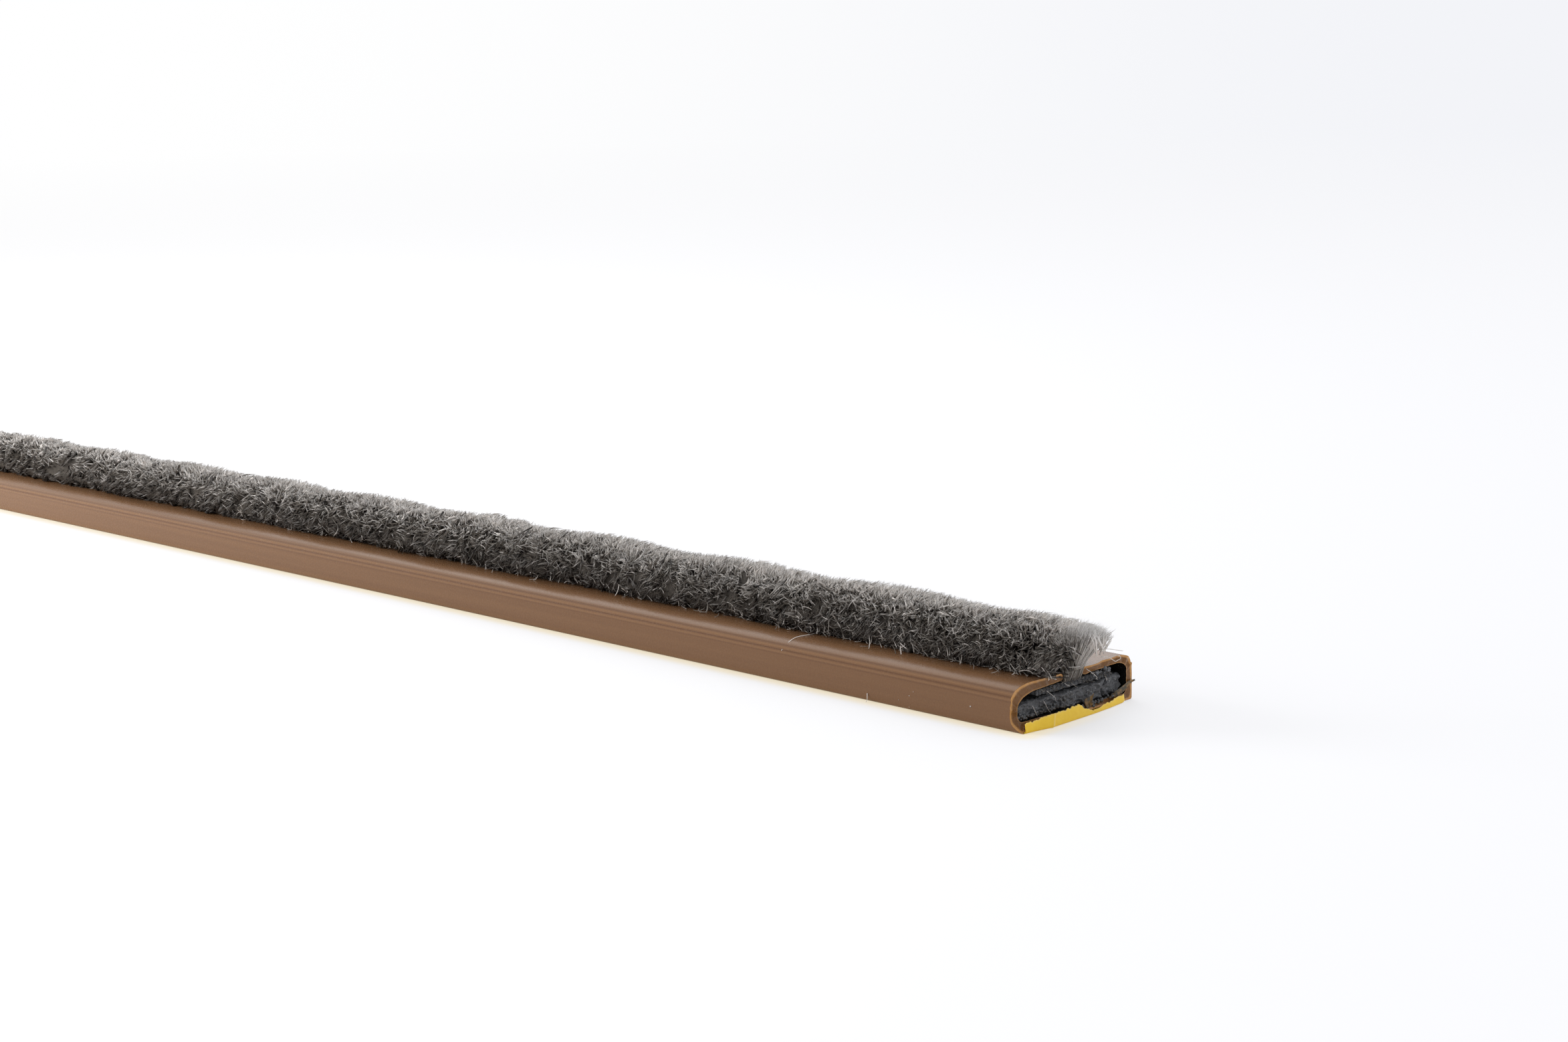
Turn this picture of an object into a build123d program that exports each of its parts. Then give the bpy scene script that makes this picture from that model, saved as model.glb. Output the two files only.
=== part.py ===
from build123d import *

import math
import os

# A cut length of fire door seal. A PVC channel holds an expanding graphite core and a woven
# brush, which stands up through the slot in the channel's top. The underside is taped.
# Millimetres. X runs along the strip towards its raked cut end, Y across it and Z up.
# The origin is at the middle of the underside.

# Length
carrier_length = 300.0  # from the square end to the cut
brush_overhang = 2.15  # how far the leaning fibres stand out past the cut

# Channel, a PVC extrusion
channel_width = 15.0
channel_height = 4.0  # at the far shoulder
near_side_drop = 0.23  # the near shoulder is this much lower
floor_thickness = 0.45
lip_thickness = 0.6  # at the slot
lip_droop = 0.23  # from the far shoulder to the slot
slot_width = 2.5
heel_radius = 0.25  # outer bottom corners
inner_heel_radius = 0.4
near_wall_thickness = 0.9
near_root_thickness = 0.78  # of the lip where it meets the shoulder
near_shoulder_width = 2.3  # outer top corner, longer across than down
near_shoulder_drop = 1.05
near_inner_width = 2.3  # its inner side
near_inner_drop = 1.2
far_wall_thickness = 0.72
far_root_thickness = 0.6
far_shoulder_width = 1.7
far_shoulder_drop = 0.75
far_inner_width = 1.2
far_inner_drop = 0.75

# Cut end: a slanting snip that leaves a nib at the bottom of the near wall
snip_rake = 0.55  # how far the near wall is set back
nib_reach = 0.6
nib_height = 0.6

# Graphite core
core_side_gap = 0.08
core_setback = 0.25  # its cut face lies this far inside the channel's
core_edge_radius = 0.22
core_swell = 0.35  # beside the backing it has swollen by this much
core_swell_start = 0.12  # from the backing's edge
core_swell_rise = 0.6  # across
core_chip = 0.55  # broken lower edge at the far wall

# Brush: its backing, then the pile that fans out above the lips
backing_width = 9.2
backing_thickness = 0.6
backing_shift = 0.3  # it sits off the middle, towards the far wall
backing_core_gap = 0.18
backing_lip_gap = 0.24  # at the lips' edges
backing_edge_radius = 0.15
pile_slot_gap = 0.1  # at each side of the slot
pile_lip_gap = 0.2  # between the fan and the top of the lips
pile_height = 4.2  # above the channel
pile_end_drop = 0.75  # the fan sinks by this much at the cut,
pile_end_length = 4.0  # and less and less over a few times this length
pile_near_reach = 5.1  # from the middle; the pile is pressed over to the near side
pile_near_level = 1.0  # of its widest point, above the shoulders
pile_foot_reach = 4.3
pile_far_reach = 3.5
pile_far_level = 2.4
pile_station_pitch = 3.8
lump_length = 19.0  # slow rise and fall of the pile along its length
lump_height = 0.2

# Adhesive tape and its release liner, laid off the middle in a recess of the underside
tape_thickness = 0.08
tape_near_margin = 0.55
tape_far_margin = 1.55
liner_thickness = 0.08
liner_overlap = 0.15  # past the tape at each side
recess_gap = 0.05  # at each side of the liner
flap_height = 1.1  # of the flap turned up over the cut
flap_corner_reach = 0.7  # how far its near corner stands out past the cut
flap_bulge = 0.4  # further out at the middle
flap_far_reach = 0.25
flap_lean = 0.12  # back towards the core at its top
tear_depth = 0.85  # notch torn in the flap's top edge
tear_width = 3.3
tear_start = 6.4  # from the liner's near edge
far_flap_drop = 0.65  # the flap is this much lower beyond the notch
near_flap_drop = 0.25  # and this much lower before the crease
crease_start = 3.1  # from the liner's near edge

# Levels and places that follow from these
tape_bottom = liner_thickness
recess_top = tape_bottom + tape_thickness
channel_floor = recess_top + floor_thickness
channel_top = channel_height
lip_top = channel_top - lip_droop
lip_bottom = lip_top - lip_thickness
backing_top = lip_bottom - backing_lip_gap
backing_bottom = backing_top - backing_thickness
core_top = backing_bottom - backing_core_gap
core_near = -channel_width / 2 + near_wall_thickness + core_side_gap
core_far = channel_width / 2 - far_wall_thickness - core_side_gap
far_end = -(carrier_length + brush_overhang) / 2
cut = far_end + carrier_length
liner_near = -channel_width / 2 + tape_near_margin - liner_overlap
liner_far = channel_width / 2 - tape_far_margin + liner_overlap
spare = 2.0  # by which cutting tools and blanks run past what they cut


# What the snip takes off. It slants at the near wall and is square at the far one.
def offcut(setback=0.0):
    beyond = cut + nib_reach + spare
    top = channel_top + spare
    slant = [(nib_reach, -spare), (nib_reach, 0.0), (-snip_rake, nib_height), (-snip_rake, top)]
    with BuildPart() as waste:
        for side, share in ((channel_width / 2, 1.0), (-channel_width / 2, 0.0)):
            with BuildSketch(Plane.XZ.offset(side)):
                with BuildLine():
                    edge = [(cut - setback + share * reach, level) for reach, level in slant]
                    Polyline(*edge, (beyond, top), (beyond, -spare), close=True)
                make_face()
        loft(ruled=True)
    return waste.part


# Channel: its section is drawn half by half, from the middle out to the wall and back along
# the lip. The near half is pressed down and thicker, and is mirrored to its side.
half = channel_width / 2
lip_end = slot_width / 2 + lip_thickness / 2


def half_section(recess_edge, top, wall, root, shoulder_width, shoulder_drop, inner_width, inner_drop):
    inner_wall = half - wall
    with BuildSketch(Plane.YZ.offset(far_end)) as section:
        with BuildLine():
            Polyline((0, channel_floor), (0, recess_top), (recess_edge, recess_top), (recess_edge, 0))
            Line((recess_edge, 0), (half - heel_radius, 0))
            TangentArc((half - heel_radius, 0), (half, heel_radius), tangent=(1, 0))
            Line((half, heel_radius), (half, top - shoulder_drop))
            shoulder = EllipticalCenterArc(
                (half - shoulder_width, top - shoulder_drop), shoulder_width, shoulder_drop, arc_size=90
            )
            Line(shoulder @ 1, (lip_end, lip_top))
            ThreePointArc(
                (lip_end, lip_top), (slot_width / 2, lip_top - lip_thickness / 2), (lip_end, lip_bottom)
            )
            inner = EllipticalCenterArc(
                (inner_wall - inner_width, top - root - inner_drop), inner_width, inner_drop, arc_size=90
            )
            Line(inner @ 1, (lip_end, lip_bottom))
            Line(inner @ 0, (inner_wall, channel_floor + inner_heel_radius))
            TangentArc(
                (inner_wall, channel_floor + inner_heel_radius),
                (inner_wall - inner_heel_radius, channel_floor),
                tangent=(0, -1),
            )
            Line((inner_wall - inner_heel_radius, channel_floor), (0, channel_floor))
        make_face()
    return section.sketch


near_half = half_section(
    recess_gap - liner_near,
    channel_top - near_side_drop,
    near_wall_thickness,
    near_root_thickness,
    near_shoulder_width,
    near_shoulder_drop,
    near_inner_width,
    near_inner_drop,
)
far_half = half_section(
    recess_gap + liner_far,
    channel_top,
    far_wall_thickness,
    far_root_thickness,
    far_shoulder_width,
    far_shoulder_drop,
    far_inner_width,
    far_inner_drop,
)
with BuildPart() as carrier:
    halves = [near_half.mirror(Plane.XZ).face(), far_half.face()]
    extrude(halves, amount=carrier_length + nib_reach + spare, dir=(1, 0, 0))
    add(offcut(), mode=Mode.SUBTRACT)
carrier.part.label = "carrier"

# Graphite core: a pressed bar with worn edges, seated on the channel's floor
swell_foot = backing_width / 2 + backing_shift + core_swell_start
with BuildPart() as intumescent_core:
    with BuildSketch(Plane.YZ.offset(far_end)) as core_section:
        with BuildLine():
            Polyline(
                (core_near, channel_floor),
                (core_near, core_top),
                (swell_foot, core_top),
                (swell_foot + core_swell_rise, core_top + core_swell),
                (core_far, core_top + core_swell / 2),
                (core_far, channel_floor + core_chip),
                (core_far - core_chip, channel_floor),
                close=True,
            )
        make_face()
        fillet(core_section.vertices().sort_by(Axis.Y)[-4:], core_edge_radius)
        near_side = core_section.vertices().group_by(Axis.X)[0]
        fillet(near_side.sort_by(Axis.Y)[0], inner_heel_radius)
    extrude(amount=carrier_length + spare)
    add(offcut(core_setback), mode=Mode.SUBTRACT)
intumescent_core.part.label = "intumescent_core"

# Backing of the brush, a flat woven tape under the lips
with BuildPart() as pile_backing:
    with BuildSketch(Plane.YZ.offset(far_end)):
        with Locations((backing_shift, backing_bottom + backing_thickness / 2)):
            RectangleRounded(backing_width, backing_thickness, backing_edge_radius)
    extrude(amount=carrier_length + spare)
    add(offcut(core_setback / 2), mode=Mode.SUBTRACT)
pile_backing.part.label = "pile_backing"

# Pile: a neck through the slot, and above the lips a fan of fibres that rises and sinks in
# lumps along its length. All of it leans towards the cut and stands out past it.
pile_root = backing_top
pile_top = channel_top + pile_height
pile_slope = brush_overhang / (pile_top - pile_end_drop - pile_root)
pile_lean = math.atan(pile_slope)
neck_half_width = slot_width / 2 - pile_slot_gap
station_count = round(carrier_length / pile_station_pitch) + 1


def lump(x, turn=0.0):
    return lump_height * math.sin(math.tau * ((cut - x) / lump_length + turn))


def fan_section(x):
    near = pile_near_reach + lump(x, -0.3)
    far = pile_far_reach + lump(x, 0.2)
    sunk = pile_end_drop * math.exp((x - cut) / pile_end_length)
    top = pile_top + lump(x) - sunk
    belly = channel_top + pile_near_level
    brow = channel_top + pile_far_level - 0.5 * sunk
    foot = lip_top + pile_lip_gap

    def leaning(across, level):
        return (across, (level - pile_root) / math.cos(pile_lean))

    tilt = (math.cos(pile_lean), 0, -math.sin(pile_lean))
    with BuildSketch(Plane(origin=(x, 0, pile_root), x_dir=(0, 1, 0), z_dir=tilt)) as section:
        with BuildLine():
            Line(leaning(neck_half_width, foot), leaning(-pile_foot_reach, foot))
            knee = leaning(-0.9 * near, belly + 0.46 * (top - belly))
            ThreePointArc(leaning(-pile_foot_reach, foot), leaning(-near, belly), knee)
            ThreePointArc(knee, leaning(-0.48 * near, belly + 0.86 * (top - belly)), leaning(0, top))
            ThreePointArc(
                leaning(0, top), leaning(0.58 * far, brow + 0.78 * (top - brow)), leaning(far, brow)
            )
            Line(leaning(far, brow), leaning(neck_half_width, foot))
        make_face()
    return section.sketch


with BuildPart() as brush_pile:
    steps = range(station_count)
    stations = [far_end + carrier_length * step / (station_count - 1) for step in steps]
    loft([fan_section(x) for x in stations], ruled=True)
    neck_rise = channel_top + pile_near_level - pile_root
    with BuildSketch(Plane.XZ.offset(-neck_half_width)):
        with BuildLine():
            Polyline(
                (far_end, pile_root),
                (cut, pile_root),
                (cut + pile_slope * neck_rise, pile_root + neck_rise),
                (far_end + pile_slope * neck_rise, pile_root + neck_rise),
                close=True,
            )
        make_face()
    extrude(amount=2 * neck_half_width)
brush_pile.part.label = "brush_pile"

# Tape under the channel
with BuildPart() as adhesive_tape:
    with BuildSketch(Plane.XY.offset(tape_bottom)):
        with BuildLine():
            Polyline(
                (far_end, -channel_width / 2 + tape_near_margin),
                (cut + spare, -channel_width / 2 + tape_near_margin),
                (cut + spare, channel_width / 2 - tape_far_margin),
                (far_end, channel_width / 2 - tape_far_margin),
                close=True,
            )
        make_face()
    extrude(amount=tape_thickness)
    add(offcut(), mode=Mode.SUBTRACT)
adhesive_tape.part.label = "adhesive_tape"

# Liner: a flat sheet whose end is turned up over the cut. Its fold bows out, and the top of
# the flap is torn.
liner_width = liner_far - liner_near
fold_points = [
    (cut + flap_corner_reach, liner_near),
    (cut + flap_corner_reach + flap_bulge, liner_near + crease_start),
    (cut + (flap_corner_reach + flap_far_reach) / 2 + flap_bulge, liner_near + 0.65 * liner_width),
    (cut + flap_far_reach, liner_far),
]


def moved_back(points, distance):
    return [(x - distance, y) for x, y in points]


flap_top = liner_thickness + flap_height
with BuildPart() as release_liner:
    with BuildSketch(Plane.XY):
        with BuildLine():
            fold = Spline(*fold_points)
            Polyline(fold @ 1, (far_end, liner_far), (far_end, liner_near), fold @ 0)
        make_face()
    extrude(amount=liner_thickness)
    for level, back in ((0.0, 0.0), (flap_top, flap_lean)):
        with BuildSketch(Plane.XY.offset(level)):
            with BuildLine():
                outer = Spline(*moved_back(fold_points, back))
                inner = Spline(*moved_back(fold_points, back + liner_thickness))
                Line(outer @ 0, inner @ 0)
                Line(outer @ 1, inner @ 1)
            make_face()
    loft(ruled=True)
    tear_end = tear_start + tear_width
    with BuildSketch(Plane.YZ.offset(cut - spare)):
        with BuildLine():
            Polyline(
                (liner_near - spare, flap_top - near_flap_drop),
                (liner_near + crease_start, flap_top - near_flap_drop / 2),
                (liner_near + crease_start, flap_top),
                (liner_near + tear_start, flap_top - near_flap_drop / 4),
                (liner_near + tear_start + 0.45 * tear_width, flap_top - tear_depth),
                (liner_near + tear_start + 0.8 * tear_width, flap_top - tear_depth),
                (liner_near + tear_end, flap_top - far_flap_drop),
                (liner_far, flap_top - 0.7 * far_flap_drop),
                (liner_far + spare, flap_top - 0.7 * far_flap_drop),
                (liner_far + spare, flap_top + spare),
                (liner_near - spare, flap_top + spare),
                close=True,
            )
        make_face()
    extrude(amount=3 * spare, mode=Mode.SUBTRACT)
release_liner.part.label = "release_liner"

os.makedirs("parts", exist_ok=True)
export_step(carrier.part, "parts/carrier.step")
export_step(intumescent_core.part, "parts/intumescent_core.step")
export_step(pile_backing.part, "parts/pile_backing.step")
export_step(brush_pile.part, "parts/brush_pile.step")
export_step(adhesive_tape.part, "parts/adhesive_tape.step")
export_step(release_liner.part, "parts/release_liner.step")
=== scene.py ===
import math

import bmesh
import bpy
import numpy as np
from mathutils import Matrix, Vector


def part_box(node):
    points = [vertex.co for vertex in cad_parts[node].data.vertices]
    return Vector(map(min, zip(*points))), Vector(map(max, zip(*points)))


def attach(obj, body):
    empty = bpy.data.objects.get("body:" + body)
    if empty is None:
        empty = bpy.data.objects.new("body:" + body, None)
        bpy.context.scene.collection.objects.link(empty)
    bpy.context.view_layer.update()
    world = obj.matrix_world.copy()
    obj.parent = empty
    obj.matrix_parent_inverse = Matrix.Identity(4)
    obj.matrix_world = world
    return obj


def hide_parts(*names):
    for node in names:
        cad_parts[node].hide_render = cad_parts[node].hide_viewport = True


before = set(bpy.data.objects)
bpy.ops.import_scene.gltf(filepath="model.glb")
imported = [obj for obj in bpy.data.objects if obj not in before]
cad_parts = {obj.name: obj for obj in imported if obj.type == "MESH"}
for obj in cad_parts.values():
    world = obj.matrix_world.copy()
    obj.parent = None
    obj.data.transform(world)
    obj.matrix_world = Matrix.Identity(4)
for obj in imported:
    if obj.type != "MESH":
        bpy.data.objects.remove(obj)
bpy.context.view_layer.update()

mm = 0.001
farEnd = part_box("carrier")[0].x / mm  # the square end of the strip
strandShare = 1.0


# Colours are written as sRGB hex and used as linear light
def toLinear(hexCode):
    value = int(hexCode[1:], 16)
    channels = [(value >> shift & 255) / 255 for shift in (16, 8, 0)]
    return [c / 12.92 if c <= 0.04045 else ((c + 0.055) / 1.055) ** 2.4 for c in channels] + [1.0]


# Adds a shader node and gives back one of its outputs. A value that is a socket is linked, a hex
# code sets a colour, and a key that is no input's name sets a property
def addNode(tree, kind, values, output=0):
    node = tree.nodes.new("ShaderNode" + kind)
    for key, value in values.items():
        if not isinstance(key, int) and key not in node.inputs:
            setattr(node, key, value)
        elif isinstance(value, bpy.types.NodeSocket):
            tree.links.new(value, node.inputs[key])
        else:
            node.inputs[key].default_value = toLinear(value) if isinstance(value, str) else value
    return node.outputs[output]


def maths(tree, operation, *values, kind="Math", output=0):
    return addNode(tree, kind, {"operation": operation, **dict(enumerate(values))}, output)


def vectorMaths(tree, operation, *values, output=0):
    return maths(tree, operation, *values, kind="VectorMath", output=output)


def mixed(tree, share, first, second):
    return addNode(tree, "Mix", {"data_type": "RGBA", 0: share, 6: first, 7: second}, 2)


def ranged(tree, value, fromLow, fromHigh, toLow=0.0, toHigh=1.0, shape="LINEAR"):
    ends = {"From Min": fromLow, "From Max": fromHigh, "To Min": toLow, "To Max": toHigh}
    return addNode(tree, "MapRange", {"interpolation_type": shape, "Value": value, **ends})


def attribute(tree, name):
    return addNode(tree, "Attribute", {"attribute_name": name}, "Fac")


def objectPlace(tree):
    return addNode(tree, "TexCoord", {}, "Object")


# Noise fixed to the piece, its lumps of one size in mm or of one along each axis
def noise(tree, size, detail, turn=0.0):
    place, scale = objectPlace(tree), 1.0
    if isinstance(size, tuple):
        scales, turned = [1 / (length * mm) for length in size], (0, math.radians(turn), 0)
        place = addNode(tree, "Mapping", {"Scale": scales, "Rotation": turned, "Vector": place})
    else:
        scale = 1 / (size * mm)
    return addNode(tree, "TexNoise", {"Scale": scale, "Detail": detail, "Vector": place})


# A look's bump is its strength and its depth in mm
def principled(tree, look, colour, height=None):
    values = {"Base Color": colour, "Roughness": look["roughness"], "IOR": look["ior"]}
    if "gloss" in look:
        values["Specular IOR Level"] = look["gloss"]
    if "bump" in look:
        strength, depth = look["bump"]
        bump = {"Strength": strength, "Distance": depth * mm, "Height": height}
        values["Normal"] = addNode(tree, "Bump", bump)
    return addNode(tree, "BsdfPrincipled", values)


# A thin piece that lets a share of the light through
def seeThrough(tree, look, colour):
    solid = principled(tree, look, colour)
    glow = addNode(tree, "BsdfTranslucent", {"Color": colour})
    return addNode(tree, "MixShader", {0: look["lets"], 1: solid, 2: glow})


def endTree(tree, surface, kind="OutputMaterial"):
    tree.links.new(surface, tree.nodes.new("ShaderNode" + kind).inputs["Surface"])


# Build adds a material's nodes by the values of its look, and gives back its surface
def newMaterial(name, build, look):
    material = bpy.data.materials.new(name)
    material.use_nodes = True
    material.node_tree.nodes.clear()
    endTree(material.node_tree, build(material.node_tree, look))
    return material


def addObject(name, data):
    made = bpy.data.objects.new(name, data)
    bpy.context.scene.collection.objects.link(made)
    return made


# Points are in millimetres; each set of faces is an array of quads or triangles
def meshFrom(name, points, *faceSets):
    mesh = bpy.data.meshes.new(name)
    mesh.vertices.add(len(points))
    mesh.vertices.foreach_set("co", (np.asarray(points) * mm).astype(np.float32).ravel())
    sizes = np.concatenate([np.full(len(faces), faces.shape[1]) for faces in faceSets])
    corners = np.concatenate([faces.ravel() for faces in faceSets])
    mesh.loops.add(len(corners))
    mesh.loops.foreach_set("vertex_index", corners.astype(np.int32))
    mesh.polygons.add(len(sizes))
    mesh.polygons.foreach_set("loop_start", (np.cumsum(sizes) - sizes).astype(np.int32))
    mesh.update(calc_edges=True)
    mesh.validate()
    mesh.polygons.foreach_set("use_smooth", np.ones(len(mesh.polygons), bool))
    return mesh


# Makes a mesh into a piece of the strip, with its finish, and hides the solid that it stands for
def addPiece(mesh, material, slotName, replaced=None, **attributes):
    for name, values in attributes.items():
        layer = mesh.attributes.new(name, "FLOAT", "POINT")
        layer.data.foreach_set("value", np.asarray(values, np.float32).ravel())
    mesh.materials.append(material)
    piece = addObject(mesh.name, mesh)
    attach(piece, "root")
    if replaced:
        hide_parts(replaced)


# Faces between the rows of a grid of points, numbered row by row
def gridFaces(rows, columns, start=0, flip=False):
    index = start + np.arange(rows * columns).reshape(rows, columns)
    a, b, c, d = index[:-1, :-1], index[:-1, 1:], index[1:, 1:], index[1:, :-1]
    order = (a, d, c, b) if flip else (a, b, c, d)
    return np.stack(order, -1).reshape(-1, 4)


# The numbers of the points around a grid, in order
def edgeOf(rows, columns):
    number = np.arange(rows * columns).reshape(rows, columns)
    return np.concatenate([number[0], number[1:, -1], number[-1, -2::-1], number[-2:0:-1, 0]])


# Faces between two closed rows of points
def bandFaces(first, second):
    return np.stack([first, np.roll(first, -1), np.roll(second, -1), second], -1)


# Smooth noise from -1 to 1, with the size of its lumps in millimetres along each axis
def lumps(points, size, seed):
    scaled = np.asarray(points, float) / np.asarray(size, float)
    cell = np.floor(scaled).astype(np.int64)
    blend = scaled - cell
    blend = blend * blend * (3 - 2 * blend)
    total = np.zeros(scaled.shape[:-1])
    for corner in np.ndindex(2, 2, 2):
        key = (cell + corner) @ np.array([73856093, 19349663, 83492791]) + seed * 2654435761
        key = (key ^ (key >> 13)) * 1274126177 & 0xFFFFFFFF
        key = (key ^ (key >> 16)) & 0xFFFFFF
        share = np.where(corner, blend, 1 - blend).prod(-1)
        total += share * (key / 0x7FFFFF - 1)
    return total


# The same noise by the place across and the level only
def faceLumps(y, z, size, seed):
    return lumps(np.stack([0 * y, y, z], -1), size, seed)


# 0 up to one value and 1 from the other
def risen(value, low, high):
    return np.clip((value - low) / (high - low), 0, 1)


# Camera, fitted to the edges of the strip and its cut face in the 2359 x 1568 picture
cameraSet = {
    "place": (276.56, -157.72, 53.05),  # mm
    "yaw": 45.659,
    "pitch": 10.184,
    "roll": 1.363,
    "focalPixels": 3798,
    "pictureWidth": 2359,
}


def makeCamera(c):
    data = bpy.data.cameras.new("camera")
    data.sensor_fit = "HORIZONTAL"
    data.sensor_width = 36.0
    data.lens = c["focalPixels"] / c["pictureWidth"] * data.sensor_width
    data.clip_start, data.clip_end = 0.01, 20.0
    yaw, pitch, roll = (math.radians(c[k]) for k in ("yaw", "pitch", "roll"))
    flat = math.cos(pitch)
    forward = Vector((-math.sin(yaw) * flat, math.cos(yaw) * flat, -math.sin(pitch)))
    level = Vector((math.cos(yaw), math.sin(yaw), 0))
    down = forward.cross(level)
    right = level * math.cos(roll) + down * math.sin(roll)
    down = down * math.cos(roll) - level * math.sin(roll)
    turn = Matrix((right, -down, -forward)).transposed().to_4x4()
    camera = addObject("camera", data)
    camera.matrix_world = Matrix.Translation(Vector(c["place"]) * mm) @ turn
    bpy.context.scene.camera = camera


makeCamera(cameraSet)
print("camera placed")


# The extruded channel. Each half of its section is written from the middle out to the wall and
# back along the lip; the near half is pressed down a little and is thicker
channel = {
    "length": 300.0,
    "width": 15.0,
    "recess": 0.16,  # under the floor, for the tape and its liner
    "floor": 0.45,
    "slot": 2.5,
    "lip": 0.6,
    "lipTop": 3.77,
    "heel": 0.25,
    "innerHeel": 0.4,
    "near": {
        "foot": 7.15, "top": 3.77, "wall": 0.9, "root": 0.78,
        "shoulder": (2.3, 1.05), "inner": (2.3, 1.2),
    },
    "far": {
        "foot": 6.15, "top": 4.0, "wall": 0.72, "root": 0.6,
        "shoulder": (1.7, 0.75), "inner": (1.2, 0.75),
    },
    "snip": (  # how far past the cut the snip leaves the near wall, and at what level
        (0.6, 0.0), (0.3, 0.15), (-0.1, 0.3), (-0.5, 0.6),
        (-0.68, 1.2), (-0.62, 2.2), (-0.52, 3.0), (-0.5, 9.0),
    ),
    "snipReach": 1.5,  # mm back from the cut, over which its shape dies away
    "dieLines": (  # level, width and strength on the near wall
        (3.27, 0.05, 0.7), (3.1, 0.05, -0.5), (2.89, 0.055, 1.0),
        (2.67, 0.06, -0.5), (2.49, 0.05, 0.5),
    ),
    "dieDepth": 0.01,
    "wave": 0.03,  # the walls wander by this much
    "ragged": 0.05,  # roughness of the snipped edge
    "farLipRagged": 0.16,
    "scraped": ((0.06, 0.3), (0.03, 0.11)),  # depth and size of the marks on the snipped face
    "clean": (1.6, 2.9),  # no graphite smear and painted shade this near to the middle and above this level
    "rimHighlight": (  # tone of the snipped face from its outer side to its inner one: 1 is the pale rim, a painted highlight of the snipped edges
        (0.0, 0.85), (0.08, 1.0), (0.2, 0.95), (0.32, 0.6),
        (0.5, 0.4), (0.75, 0.4), (0.9, 0.6), (1.0, 0.9),
    ),
}
cut = farEnd + channel["length"]
half = channel["width"] / 2


def lineTo(a, b, places):
    return np.asarray(a) + (np.asarray(b) - np.asarray(a)) * places[:, None]


def arcTo(centre, across, down, start, end, n):
    turn = np.radians(np.linspace(start, end, n))
    y, z = centre[0] + across * np.cos(turn), centre[1] + down * np.sin(turn)
    return np.stack([y, z], -1)[1:]


# One side of the section from its heel up the wall, round the shoulder and along the lip
def sideOf(c, wall, floor, heel, top, shoulder, lipLevel, way):
    across, down = shoulder
    lipEnd, lipHalf = (c["slot"] + c["lip"]) / 2, c["lip"] / 2
    up = np.concatenate([np.linspace(0, 0.6, 7), np.linspace(0.6, 1, 16)[1:]])
    return [
        arcTo((wall - heel, floor + heel), heel, heel, -90, 0, 7),
        lineTo((wall, floor + heel), (wall, top - down), up)[1:],
        arcTo((wall - across, top - down), across, down, 0, 90, 37),
        lineTo((wall - across, top), (lipEnd, lipLevel), np.linspace(0, 1, 24))[1:],
        arcTo((lipEnd, c["lipTop"] - lipHalf), lipHalf, lipHalf, 90 * way, 174 * way, 6),
    ]


def sectionHalf(c, side):
    h = c[side]
    wall, floor = half - h["wall"], c["recess"] + c["floor"]
    foot, heel = (h["foot"], c["recess"]), (wall - c["innerHeel"], floor)
    outer = [
        lineTo((0, c["recess"]), foot, np.linspace(0, 1, 8)),
        np.array([(h["foot"], 0.0), (half - c["heel"], 0.0)]),
        *sideOf(c, half, 0, c["heel"], h["top"], h["shoulder"], c["lipTop"], 1),
    ]
    under, lipLevel = h["top"] - h["root"], c["lipTop"] - c["lip"]
    inner = [
        lineTo((0, floor), heel, np.linspace(0, 1, 10)),
        *sideOf(c, wall, floor, c["innerHeel"], under, h["inner"], lipLevel, -1),
    ]
    return np.concatenate(outer), np.concatenate(inner)


# Where the snip passes at each point of the section, measured from the cut's datum
def snipReach(y, z):
    reaches, levels = np.array(channel["snip"]).T
    return np.interp(z, levels, reaches) * (half - y) / channel["width"]


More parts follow.
